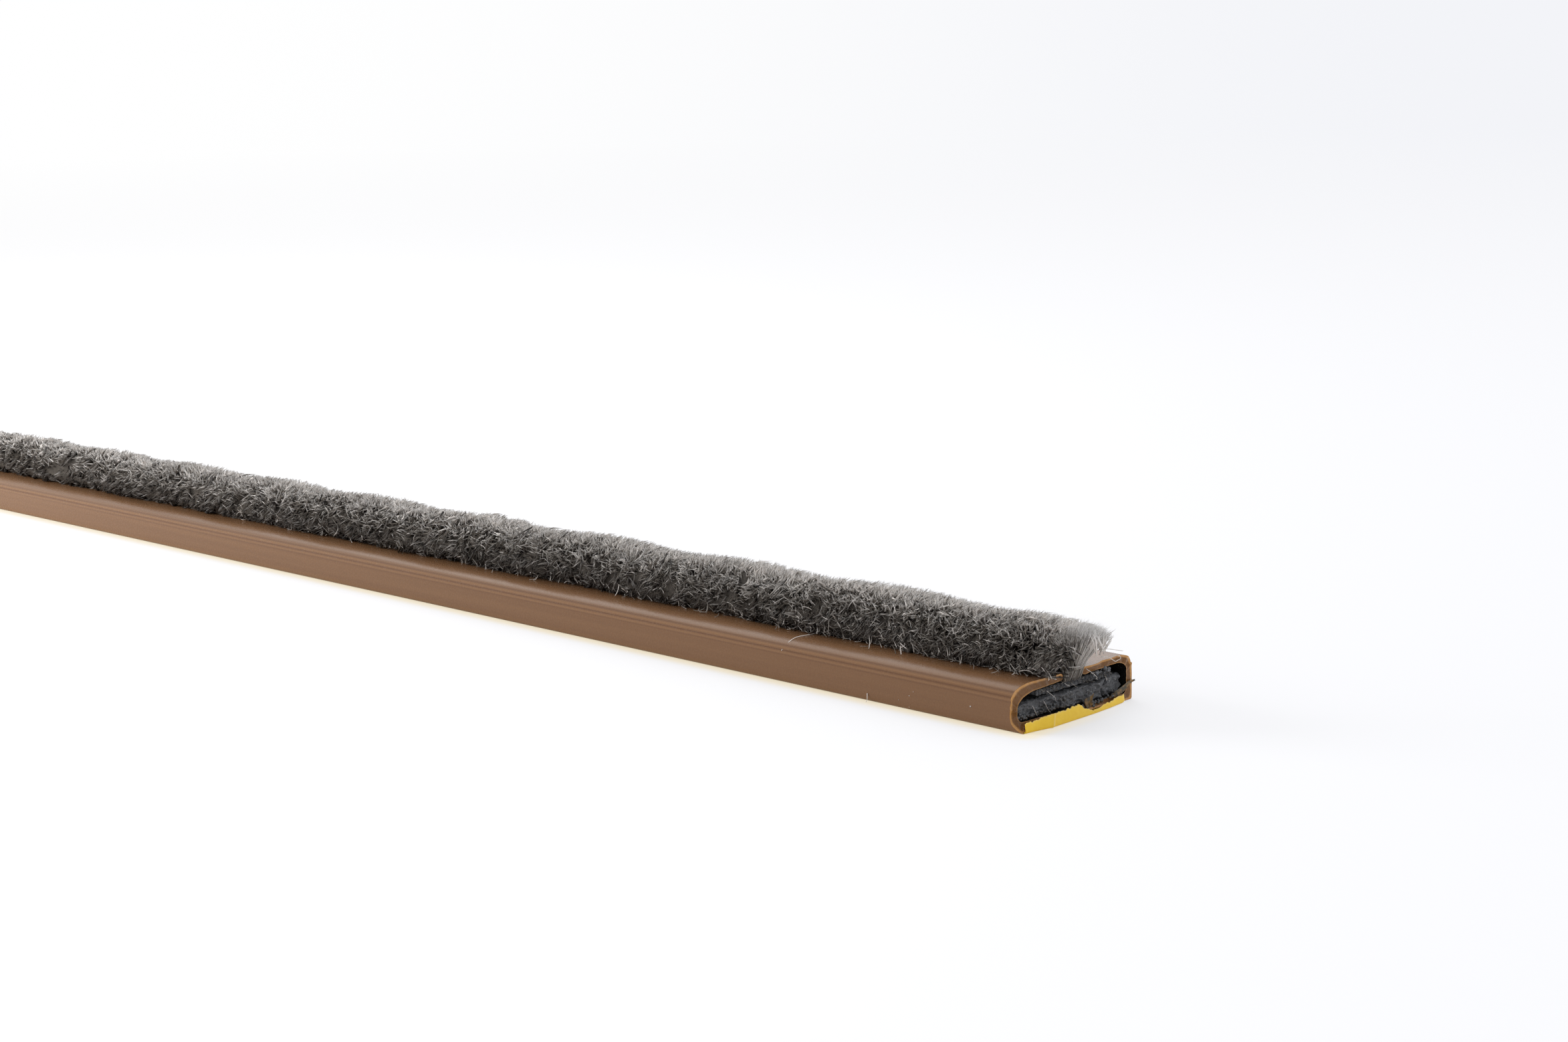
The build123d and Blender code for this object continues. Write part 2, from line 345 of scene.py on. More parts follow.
def makeChannel(c, material):
    outer, inner = (
        np.concatenate([nearSide[:0:-1] * (-1.0, 1.0), farSide])
        for nearSide, farSide in zip(sectionHalf(c, "near"), sectionHalf(c, "far"))
    )
    drawn = 0 * outer[:, 0]
    for level, width, strength in c["dieLines"]:
        onNearWall = outer[:, 0] < -5
        drawn += strength * np.exp(-(((outer[:, 1] - level) / width) ** 2)) * onNearWall
    outer[:, 0] += c["dieDepth"] * drawn
    # Sections along the strip, closer together towards the cut
    sparse, close = np.linspace(c["length"], 12, 56), np.geomspace(11.3, 0.08, 24)
    fromCut = np.concatenate([sparse, close, [0.0]])
    count, stations = len(outer), len(fromCut)
    layers = []
    for side in (outer, inner):
        y, z = side[:, 0][None, :], side[:, 1][None, :]
        x = (cut - fromCut)[:, None] + 0 * y
        near = np.exp(-fromCut / c["snipReach"])[:, None]
        points = np.stack([x, y + 0 * x, z + 0 * x], -1)
        frayed = c["ragged"] * lumps(points, (40, 0.35, 0.35), 3)
        farLip = (y > 1.0) & (z > 3.1)
        frayed = frayed + farLip * c["farLipRagged"] * (lumps(points, (40, 0.8, 0.8), 5) - 0.6)
        points[..., 0] += near * (snipReach(y, z) + frayed)
        points[..., 1] += c["wave"] * lumps(points, (38, 6, 6), 7) * (1 - near)
        points[..., 2] += c["wave"] * lumps(points, (27, 5, 90), 8) * (z > 2) * (1 - near)
        layers.append(points)
    points = [layer.reshape(-1, 3) for layer in layers]
    innerStart = stations * count
    faces = [gridFaces(stations, count), gridFaces(stations, count, innerStart, flip=True)]
    for column, way in ((0, 1), (count - 1, -1)):  # the lips' edges
        a = np.arange(stations) * count + column
        b = innerStart + a
        faces.append(np.stack([a[:-1], a[1:], b[1:], b[:-1]], -1)[:, ::way])
    # The two end faces, in rows from the outer side to the inner one
    across, tones = np.array(c["rimHighlight"]).T
    shades = [np.zeros(2 * innerStart)]
    for station, flip in ((-1, False), (0, True)):
        a, b = layers[0][station], layers[1][station]
        rows = a[None] + (b - a)[None] * across[:, None, None]
        marks = enumerate(c["scraped"])
        rough = sum(depth * lumps(rows, (1, size, size), 11 + i) for i, (depth, size) in marks)
        rows[1:-1, :, 0] += (rough[1:-1] - 0.03) * (station == -1)
        faces.append(gridFaces(len(across), count, sum(map(len, points)), flip=flip))
        points.append(rows.reshape(-1, 3))
        shades.append(np.repeat(tones, count))
    onEnds = np.zeros(2 * len(across) * count)
    drawnLines = np.concatenate([np.tile(drawn, stations), np.zeros(innerStart), onEnds])
    # The channel's inside away from the slot is painted near black: graphite smear and painted
    # shade of the hollow
    smearedAndShaded = 0 * drawnLines
    darkenedInside = (np.abs(inner[:, 0]) > c["clean"][0]) | (inner[:, 1] < c["clean"][1])
    smearedAndShaded[innerStart : 2 * innerStart] = np.tile(darkenedInside, stations)
    mesh = meshFrom("carrierShell", np.concatenate(points), *faces)
    marks = {"cutFaceAndRimHighlight": np.concatenate(shades), "dieLine": drawnLines, "smearedAndShaded": smearedAndShaded}
    addPiece(mesh, material, "carrier_pvc", "carrier", **marks)


# Rigid PVC, extruded: an even satin brown with faint streaks along the length and a fine grain.
# Where it was snipped it is scraped, and its thin edges carry a painted orange highlight
pvc = {
    "dark": "#60432e",
    "light": "#805f42",
    "streaks": 0.5,  # how much of that range the streaks take, and
    "lines": 0.7,  # how much the lines drawn by the die do
    "cutCore": "#775330",
    "cutEdgeHighlight": "#c9965c",
    "smearAndShade": "#171513",  # graphite rubbed on the inside, and painted shade of the channel's hollow
    "roughness": (0.19, 0.35),
    "ior": 1.53,
    "gloss": 0.2,
    "grainMm": 0.12,
    "scrapedMm": 0.25,
    "streakMm": (60.0, 0.5, 0.5),
    "bump": (0.12, 0.02),
}


def extrudedPvc(tree, p):
    streaks = noise(tree, p["streakMm"], 4.0)
    centred = maths(tree, "MULTIPLY_ADD", streaks, p["streaks"], 0.5 - p["streaks"] / 2)
    tone = maths(tree, "MULTIPLY_ADD", attribute(tree, "dieLine"), -p["lines"], centred)
    tone.node.use_clamp = True
    body = mixed(tree, tone, p["dark"], p["light"])
    cutFaceAndRimHighlight = attribute(tree, "cutFaceAndRimHighlight")
    # The snipped face's rim is painted pale orange as a highlight of its edges
    cutColour = mixed(tree, ranged(tree, cutFaceAndRimHighlight, 0.55, 1.0), p["cutCore"], p["cutEdgeHighlight"])
    colour = mixed(tree, ranged(tree, cutFaceAndRimHighlight, 0.1, 0.4), body, cutColour)
    colour = mixed(tree, attribute(tree, "smearedAndShaded"), colour, p["smearAndShade"])
    height = maths(tree, "MULTIPLY_ADD", streaks, 0.6, noise(tree, p["grainMm"], 2.0))
    dull = ranged(tree, noise(tree, p["scrapedMm"], 3.0), 0.0, 1.0, *p["roughness"])
    return principled(tree, {**p, "roughness": dull}, colour, height)


makeChannel(channel, newMaterial("extruded_satin_PVC", extrudedPvc, pvc))
print("channel extruded and snipped")


# Fibres as thin three-sided strands: paths is (strands, points, 3) in mm, radii (strands, points)
def strandMesh(name, paths, radii, rng):
    strands, steps, _ = paths.shape
    along = np.gradient(paths, axis=1)
    along /= np.linalg.norm(along, axis=2, keepdims=True) + 1e-9
    aside = np.cross(along, rng.normal(size=(strands, 1, 3)))
    aside /= np.linalg.norm(aside, axis=2, keepdims=True) + 1e-9
    over = np.cross(along, aside)
    turns = np.arange(3) * math.tau / 3
    ring = (
        paths[:, :-1, None]
        + radii[:, :-1, None, None] * np.cos(turns)[:, None] * aside[:, :-1, None]
        + radii[:, :-1, None, None] * np.sin(turns)[:, None] * over[:, :-1, None]
    )
    rings = steps - 1
    points = np.concatenate([ring.reshape(strands, rings * 3, 3), paths[:, -1:]], 1)
    first = (np.arange(strands) * (rings * 3 + 1))[:, None]
    quads, tris = [], []
    for step in range(rings - 1):
        for turn in range(3):
            a, b = step * 3 + turn, step * 3 + (turn + 1) % 3
            quads.append(first + np.array([a, b, b + 3, a + 3]))
    last = (rings - 1) * 3
    for turn in range(3):
        tris.append(first + np.array([last + turn, last + (turn + 1) % 3, rings * 3]))
    tris.append(first + np.array([0, 2, 1]))
    mesh = meshFrom(name, points.reshape(-1, 3), np.concatenate(tris), np.concatenate(quads))
    return mesh, strands, steps


# Makes strands into a piece. Along is how far up its fibre a point lies, shade how pale a fibre is
def addStrands(made, material, names, along, shade):
    mesh, strands, steps = made
    along = np.broadcast_to(along, (strands, steps))
    along = np.concatenate([np.repeat(along[:, :-1], 3, 1), along[:, -1:]], 1)
    shade = np.repeat(np.broadcast_to(shade, strands), along.shape[1])
    addPiece(mesh, material, *names, along=along, shade=shade)


# A bar with rounded corners whose end at the cut is a fine grid, so that it can be rough
def barPoints(c, columns, rows):
    u, v = np.meshgrid(np.linspace(-1, 1, columns), np.linspace(-1, 1, rows))
    (y0, y1), (z0, z1), radius = c["across"], c["levels"], c["edgeRadius"]
    y, z = (y0 + y1) / 2 + u * (y1 - y0) / 2, (z0 + z1) / 2 + v * (z1 - z0) / 2
    dy = np.maximum(np.abs(y - (y0 + y1) / 2) - ((y1 - y0) / 2 - radius), 0)
    dz = np.maximum(np.abs(z - (z0 + z1) / 2) - ((z1 - z0) / 2 - radius), 0)
    past = np.maximum(np.hypot(dy, dz), 1e-6)
    pull = np.where(past > radius, 1 - radius / past, 0)
    return y - np.sign(u) * dy * pull, z - np.sign(v) * dz * pull


# The bar's edges fray by this share near the cut, and its far face is nearly flat
def barMesh(name, y, z, face, backFrom, fray):
    rows, columns = y.shape
    around = edgeOf(rows, columns)
    flat = np.stack([y.ravel(), z.ravel()], -1)
    middle, flat = flat.mean(0), flat[around]
    points, rings, count = [face.reshape(-1, 3)], [around], rows * columns
    for back in (0.12, 0.3, 0.6, 1.2, 2.5, 6, 30, 90, 180, 240, 270):
        x = backFrom.ravel()[around] - back
        rough = fray * math.exp(-back / 1.5) * lumps(np.stack([x, *flat.T], -1), 0.35, 61)
        out = flat + (flat - middle) * (rough / 3)[:, None]
        points.append(np.stack([x, *out.T], -1))
        rings.append(count + np.arange(len(around)))
        count += len(around)
    farFace = np.stack([0 * y + farEnd + 0.15, y, z], -1)
    farFace[..., 0] += 0.04 * np.abs(lumps(farFace, 0.3, 62))
    points.append(farFace.reshape(-1, 3))
    rings.append(count + around)
    faces = [gridFaces(rows, columns), gridFaces(rows, columns, count)[:, ::-1]]
    faces += [bandFaces(near, far)[:, ::-1] for near, far in zip(rings, rings[1:])]
    return meshFrom(name, np.concatenate(points), *faces)


# Intumescent core: graphite sheet, crumbled where the snip went through it
core = {
    "across": (-6.5, 6.68),
    "levels": (0.62, 2.12),
    "edgeRadius": 0.22,
    "setback": 0.28,
    "top": (  # across and level
        (-6.5, 1.86), (-4.8, 2.02), (1.0, 2.06), (3.6, 2.16), (4.9, 2.34), (5.7, 2.44), (6.7, 2.3),
    ),
    "uneven": (0.05, 0.9),  # depth and size of the lumps of its top
    "crumbs": ((0.55, 0.16), (0.22, 0.1), (0.1, 0.05)),  # size and depth in mm
    "cleft": ((4.75, 1.9), (4.45, 1.58), (4.24, 1.14), (4.41, 0.64)),  # a split in the face
    "cleftSize": (0.45, 0.13, 2.1),  # depth, half width, and the level where it stops
    "pit": (6.6, 0.8, 0.32, 0.8),  # a lump is missing: across, level, radius, depth
    "worn": (0.3, 0.14, 0.22),  # width of the worn edge, its depth, and what the top one has more
}


def makeCore(c, material):
    y, z = barPoints(c, 230, 42)
    (y0, y1), (z0, z1) = c["across"], c["levels"]
    share = (z - z0) / (z1 - z0)
    depth, size = c["uneven"]
    rise = np.interp(y, *np.array(c["top"]).T) - z1 + depth * faceLumps(y, 0 * z, size, 71)
    z = z + share * rise
    surface = cut + snipReach(y, z) - c["setback"]
    points = np.stack([surface, y, z], -1)
    for size, depth in c["crumbs"]:
        points[..., 0] -= depth * (0.5 + faceLumps(y, z, size, int(size * 100)))
    across, levels = np.array(c["cleft"])[::-1].T
    depth, width, top = c["cleftSize"]
    fromCleft = y - np.interp(z, levels, across)
    points[..., 0] -= depth * np.exp(-((fromCleft / width) ** 2)) * (z < top)
    pitAcross, pitLevel, radius, depth = c["pit"]
    fromPit = np.hypot(y - pitAcross, z - pitLevel)
    points[..., 0] -= depth * np.exp(-((fromPit / radius) ** 4))
    width, depth, more = c["worn"]
    edge = np.minimum(np.minimum(share, 1 - share) * 2, np.minimum(y - y0, y1 - y)) / width
    points[..., 0] -= (depth + more * (share > 0.5)) * np.clip(1 - edge, 0, 1) ** 2
    mesh = barMesh("coreBar", y, z, points, surface - 0.3, 0.12)
    addPiece(mesh, material, "graphite_core", "intumescent_core")


# Pressed graphite: near black and grainy, with flakes painted pale as glints where they catch the
# light
graphite = {
    "dark": "#24252a",
    "light": "#7b7d81",
    "flakeGlint": "#9a9da1",
    "flakeMm": 0.22,
    "flakeLimits": (0.78, 0.28),  # share of the cells without a flake, and a flake's reach
    "grainMm": 0.16,
    "bump": (0.9, 0.12),
    "roughness": 0.5,
    "ior": 1.6,
}


def pressedGraphite(tree, g):
    grain = noise(tree, g["grainMm"], 4.0)
    body = mixed(tree, grain, g["dark"], g["light"])
    cell = {"Scale": 1 / (g["flakeMm"] * mm), "Vector": objectPlace(tree)}
    distance = addNode(tree, "TexVoronoi", cell, "Distance")
    lot = addNode(tree, "SeparateColor", {0: distance.node.outputs["Color"]})
    chosen = maths(tree, "GREATER_THAN", lot, g["flakeLimits"][0])
    near = maths(tree, "LESS_THAN", distance, g["flakeLimits"][1])
    # The chosen flakes are painted pale as glints
    colour = mixed(tree, maths(tree, "MULTIPLY", chosen, near), body, g["flakeGlint"])
    return principled(tree, g, colour, grain)


coreMaterial = newMaterial("pressed_graphite_sheet", pressedGraphite, graphite)
makeCore(core, coreMaterial)
print("core pressed and crumbled")


# The pile's backing: a woven strip under the lips, dusty and frayed where it was cut
backing = {
    "across": (-4.3, 4.9),
    "levels": (2.4, 2.93),
    "edgeRadius": 0.15,
    "setback": 0.12,
    "threadMm": 0.45,
    "ribs": (0.05, 0.03),  # how far its threads stand out at the cut and on its faces
    "frayed": ((0.1, 0.3), (0.05, 0.09)),  # depth and size of the cut's unevenness
    "tilt": 0.012,  # it rises to the far side by this share
    "fuzz": 110,  # loose threads on the cut end
    "fuzzLength": (0.12, 0.42),  # mm
    "fuzzRadius": 0.022,
}


def makeBacking(c, material):
    y, z = barPoints(c, 150, 16)
    surface = cut + snipReach(y, z) - c["setback"]
    points = np.stack([surface, y, z], -1)
    middle, thread = sum(c["levels"]) / 2, c["threadMm"]
    (coarse, coarseSize), (fine, fineSize) = c["frayed"]
    ribs = c["ribs"][0] * np.sin(y * math.tau / thread) * np.sign(z - middle)
    points[..., 0] += ribs - coarse * (0.5 + faceLumps(y, z, coarseSize, 81))
    points[..., 0] -= fine * faceLumps(y, z, fineSize, 82)
    ribs = c["ribs"][1] * np.sin(y * math.tau / (2 * thread)) * (np.abs(z - middle) / 0.3)
    z = z + ribs + c["tilt"] * y
    points[..., 2] = z
    mesh = barMesh("backingBand", y, z, points, surface - 0.2, 0.1)
    addPiece(mesh, material, "woven_backing", "pile_backing")


def makeFuzz(c, material, rng):
    n, steps, middle = c["fuzz"], 6, sum(c["levels"]) / 2
    y, z = rng.uniform(-4.2, 4.8, n), middle + rng.normal(0.08, 0.2, n)
    start = np.stack([cut + snipReach(y, z) - 0.15, y, z], -1)
    way = rng.normal(0, 1, (n, 3)) * (0.4, 0.8, 0.9) + (0.9, 0, 0.15)
    way /= np.linalg.norm(way, axis=1, keepdims=True)
    bend = rng.normal(0, 0.6, (n, 3))
    t = np.linspace(0, 1, steps)[:, None]
    size = rng.uniform(*c["fuzzLength"], (n, 1, 1))
    paths = start[:, None] + size * (way[:, None] * t + bend[:, None] * t**2 * 0.5)
    radii = np.full((n, steps), c["fuzzRadius"]) * np.append(np.ones(steps - 1), 0.4)
    made = strandMesh("backingFuzz", paths, radii, rng)
    shade = np.clip(rng.normal(0.35, 0.3, n), 0, 1)
    addStrands(made, material, ("woven_backing",), 0.8, shade)


# Woven polypropylene tape, coated on the back: dark threads with pale dust caught in them
weave = {
    "dark": "#303135",
    "light": "#66686c",
    "dust": "#aaa89f",
    "dustMm": 0.14,
    "dustRange": (0.6, 0.74, 0.0, 0.7),
    "threadMm": 0.45,
    "bump": (0.6, 0.06),
    "roughness": 0.75,
    "ior": 1.49,
}


def wovenTape(tree, w):
    bands = {"Scale": 0.314 / (w["threadMm"] * mm), "Distortion": 0.6, "Detail": 1.0}
    bands["Vector"] = objectPlace(tree)
    ways = ({"bands_direction": way, **bands} for way in "YX")
    warp, weft = (addNode(tree, "TexWave", values, "Fac") for values in ways)
    threads = maths(tree, "MULTIPLY", warp, weft)
    body = mixed(tree, threads, w["dark"], w["light"])
    dust = ranged(tree, noise(tree, w["dustMm"], 3.0), *w["dustRange"])
    colour = mixed(tree, dust, body, w["dust"])
    return principled(tree, w, colour, threads)


# Release paper: one sheet under the strip, its torn end turned up in front of the core
liner = {
    "across": (-7.1, 6.1),
    "thick": 0.075,
    "foldRadius": 0.16,
    "lean": 0.14,
    "bottom": (  # across, and mm past the cut
        (-7.1, 0.69), (-5.74, 0.86), (-4.27, 1.12), (-2.64, 1.06), (-0.58, 0.99), (1.51, 0.91),
        (3.76, 0.72), (5.75, 0.45), (6.1, 0.3),
    ),
    "top": (  # across and level
        (-7.1, 0.8), (-6.38, 0.84), (-5.61, 0.9), (-4.98, 1.06), (-4.3, 1.08), (-3.83, 1.15),
        (-2.48, 1.05), (-1.39, 1.12), (-0.7, 1.2), (-0.22, 0.94), (0.13, 0.66), (1.24, 0.32),
        (2.12, 0.34), (2.88, 0.52), (4.11, 0.51), (5.27, 0.66), (6.1, 0.58),
    ),
    "torn": ((0.3, 0.05), (0.13, 0.04)),  # size and depth of the tear's teeth in mm
    "buckled": (0.03, (1, 1.2, 0.6)),  # depth and size of the flap's lumps
    "crease": ((1.2, -3.83), (0.02, -4.24)),  # level and across
    "creaseDepth": 0.07,
}


def makeLiner(c, material):
    columns = 300
    y = np.linspace(*c["across"], columns)
    bottom = cut + np.interp(y, *np.array(c["bottom"]).T)
    top = np.interp(y, *np.array(c["top"]).T)
    teeth = enumerate(c["torn"])
    top = top + sum(depth * faceLumps(y, 0 * y, size, 91 + i) for i, (size, depth) in teeth)
    r = c["foldRadius"]
    rise = np.linspace(0, 1, 14)[1:, None]
    turn = np.radians(np.linspace(0, 90, 7))[1:, None]
    back = np.array([0.15, 1.0, 3.0, 8.0, 30.0, 100.0, 200.0, 260.0])[::-1, None]
    lengths = [
        np.full((1, columns), farEnd),
        np.maximum(bottom - r - back, farEnd),
        (bottom - r)[None],
        bottom - r + r * np.sin(turn),
        bottom - c["lean"] * rise * top / 0.9,
    ]
    levels = [
        np.zeros((2 + len(back), columns)),
        r * (1 - np.cos(turn)) + 0 * y,
        r + (top - r)[None] * rise,
    ]
    x, z = np.concatenate(lengths), np.concatenate(levels)
    flap = slice(-len(rise), None)
    depth, size = c["buckled"]
    x[flap] += depth * faceLumps(0 * z[flap] + y, z[flap], size, 95)
    folded = np.interp(z, *np.array(c["crease"])[::-1].T) - y
    x += c["creaseDepth"] * np.exp(-((folded / 0.12) ** 2)) * (z > 0.02)
    ground = 0.5 * c["thick"]
    z = z + ground
    sheet = np.stack([x, np.broadcast_to(y, x.shape), z], -1)
    rows = len(sheet)
    normal = np.cross(np.gradient(sheet, axis=1), np.gradient(sheet, axis=0))
    normal /= np.linalg.norm(normal, axis=-1, keepdims=True) + 1e-12
    points = []
    for side in (1, -1):
        points.append(sheet + side * normal * c["thick"] / 2)
        points[-1][..., 2] = np.maximum(points[-1][..., 2], 0)
    points = np.concatenate([face.reshape(-1, 3) for face in points])
    edge = edgeOf(rows, columns)
    faces = [gridFaces(rows, columns), gridFaces(rows, columns, rows * columns, flip=True)]
    mesh = meshFrom("linerSheet", points, *faces, bandFaces(edge, rows * columns + edge)[:, ::-1])
    fromTop = np.maximum(top + ground - z, 0)
    torn = np.exp(-fromTop / 0.05) * (z > r)
    crease = np.exp(-((folded / 0.06) ** 2)) * (z > 0.06)
    marks = {"torn": np.tile(torn.ravel(), 2), "crease": np.tile(crease.ravel(), 2)}
    addPiece(mesh, material, "liner_paper", "release_liner", **marks)


# Release paper: dyed yellow, with a thin glossy coat; the pulp shows paler where it is torn
paper = {
    "colour": "#fcd63a",
    "mottle": "#f2c426",
    "pulp": "#f6dc8a",
    "pulpShare": 0.7,
    "fibreMm": 0.35,
    "bump": (0.25, 0.03),
    "roughness": 0.45,
    "ior": 1.47,
}


def coatedPaper(tree, c):
    pulp = noise(tree, c["fibreMm"], 4.0)
    body = mixed(tree, pulp, c["colour"], c["mottle"])
    worn = maths(tree, "MAXIMUM", attribute(tree, "torn"), attribute(tree, "crease"))
    colour = mixed(tree, maths(tree, "MULTIPLY", worn, c["pulpShare"]), body, c["pulp"])
    return principled(tree, c, colour, pulp)


makeLiner(liner, newMaterial("coated_release_paper", coatedPaper, paper))
print("liner laid and torn")


# Acrylic tape: milky and slightly tacky, with faint streaks from its coating
acrylic = {
    "dark": "#d8d0bd",
    "light": "#e9e3d4",
    "streakMm": (30.0, 0.6, 1000.0),
    "roughness": 0.35,
    "ior": 1.47,
}


def acrylicTape(tree, a):
    colour = mixed(tree, noise(tree, a["streakMm"], 3.0), a["dark"], a["light"])
    return principled(tree, a, colour)


tape = bpy.data.objects["adhesive_tape"]
for materialSlot in tape.material_slots:
    materialSlot.material = newMaterial("coated_acrylic_tape", acrylicTape, acrylic)
print("tape finished")


# The pile: all fibres spring from the slot, fan out and lean towards the cut. It is pressed over
# to the near side, so the fan reaches further there. Degrees are from upright, the near side's
# negative
pile = {
    "neckLevel": 3.84,
    "neckHalfWidth": 1.05,
    "rootLevel": 2.93,
    "ends": (-94, 54),  # degrees of the lowest fibres of each side
    "fan": (  # degrees, and reach from the neck in mm
        (-94, 3.95), (-88, 4.35), (-77, 5.1), (-60, 5.2), (-45, 4.9), (-32, 4.6), (0, 4.36),
        (27, 4.42), (54, 4.3),
    ),
    "lean": 29.0,  # degrees
    "sideLean": 0.35,  # the lowest fibres lean this share as much
    "lumpLength": 19.0,
    "lumpHeight": 0.2,
    "endDrop": (0.17, 4.0),  # the top sinks by this share at the cut, over a few times this length
    "tuftFibres": 5,
    "tuft": (0.16, 2.2),  # its spread along the strip in mm, and in degrees
    "reach": (0.98, 0.022, 1.02),  # of a fibre for the fan's: middle, spread and most
    "slant": (0.3, 0.26),  # how far a tuft's tips stray sideways, and each fibre's, per length
    "kink": 0.07,
    "shown": 0.36,  # share of the length that is modelled outside the heart
    "zones": (  # name, mm from the cut, fibres, radius in mm
        ("pileTipsEnd", (-0.1, 30.0), 7600, 0.072),
        ("pileTipsNear", (30.0, 74.0), 9800, 0.078),
        ("pileTipsMid", (74.0, 150.0), 12500, 0.1),
        ("pileTipsFar", (150.0, 299.7), 15500, 0.12),
    ),
    "shade": (0.06, 0.94, (-66, -10)),  # of the lowest, what the highest have more, and between: painted light on the upper fibres and painted shade on the lower ones
    "shadeSpread": (0.2, 0.45),  # of the tufts and of the fibres
    "lit": (0.74, 0.26, (-92, -48)),  # the same for how far along the root's painted shade ends, darker on the lowest fibres
    "backlitAtCut": (2.6, (-50, -5), 0.9, 0.75),  # mm, degrees, and what it adds to the shade and along: painted backlight on the far side's fibres at the cut
}
fibreNames = ("pile_fibre", "brush_pile")


# Reach of the fan from the neck, by the angle from upright and the place along the strip
def fanReach(angle, x):
    degrees, reaches = np.array(pile["fan"]).T
    reach = np.interp(np.degrees(angle), degrees, reaches)
    wave = np.sin(math.tau * (cut - x) / pile["lumpLength"] + 1.5 * angle)
    reach = reach + pile["lumpHeight"] * wave
    share, length = pile["endDrop"]
    fromCut = np.maximum(cut - x, 0)
    return reach * (1 - share * np.exp(-fromCut / length) * np.clip(np.cos(angle), 0, 1))


def leanAt(angle):
    share = pile["sideLean"] + (1 - pile["sideLean"]) * np.clip(np.cos(angle), 0, 1)
    return math.tan(math.radians(pile["lean"])) * share


# Each fibre is a parabola from the neck, of which the part from start to the tip is given back
def fibrePaths(roots, angles, reach, start, steps, rng):
    n, level = len(roots), pile["neckLevel"]
    rootShare = np.interp(np.degrees(angles), pile["ends"], (-1, 1))
    yRoot = pile["neckHalfWidth"] * rootShare + rng.normal(0, 0.06, n)
    length = fanReach(angles, roots) * reach
    yTip, zTip = length * np.sin(angles), level + length * np.cos(angles)
    early = 0.45 * angles
    yMid, zMid = yRoot + 0.5 * length * np.sin(early), level + 0.5 * length * np.cos(early)
    t = start[:, None] + (1 - start[:, None]) * np.linspace(0, 1, steps)
    bend = np.stack([(1 - t) ** 2, 2 * t * (1 - t), t**2])
    y = bend[0] * yRoot[:, None] + bend[1] * yMid[:, None] + bend[2] * yTip[:, None]
    z = bend[0] * level + bend[1] * zMid[:, None] + bend[2] * zTip[:, None]
    forward = leanAt(angles) * length * rng.normal(1, 0.08, n)
    x = roots[:, None] + forward[:, None] * t**1.1
    return np.stack([x, y, z], -1), t, length


# Keeps fibres above the lips, except in the neck
def overLips(paths, t):
    lowest = np.where(t < 0.3, pile["rootLevel"], channel["lipTop"] + 0.05)
    paths[..., 2] = np.maximum(paths[..., 2], lowest)
    return paths


# Polypropylene fibre, drawn and cut: fine grey strands whose tone differs at random. The dark warm
# root colour is painted shade between the fibres, and the near white towards their tips is a
# painted highlight
fibre = {
    # The root colour is painted shade deep in the pile, warmed as by light from the brown lip
    "root": "#281b12",
    "dark": "#928a81",
    "pale": "#fffbf7",
    "tipHighlight": "#ffffff",
    "rise": (0.62, 0.86),  # how far along the root's painted shade gives way
    "tipHighlightPlace": (0.9, 1.0, 0.0, 0.75),  # and where the tip's painted highlight comes in, and how much of it
    "roughness": 0.34,
    "ior": 1.49,
    "lets": 0.58,  # share of light that passes through
}


def drawnFibre(tree, f):
    along, shade = attribute(tree, "along"), attribute(tree, "shade")
    tone = mixed(tree, shade, f["dark"], f["pale"])
    colour = mixed(tree, ranged(tree, along, *f["rise"]), f["root"], tone)
    # The tips are painted near white as a highlight, most on the paler fibres
    tipHighlightShare = maths(tree, "MULTIPLY", ranged(tree, along, *f["tipHighlightPlace"]), shade)
    colour = mixed(tree, tipHighlightShare, colour, f["tipHighlight"])
    return seeThrough(tree, f, colour)


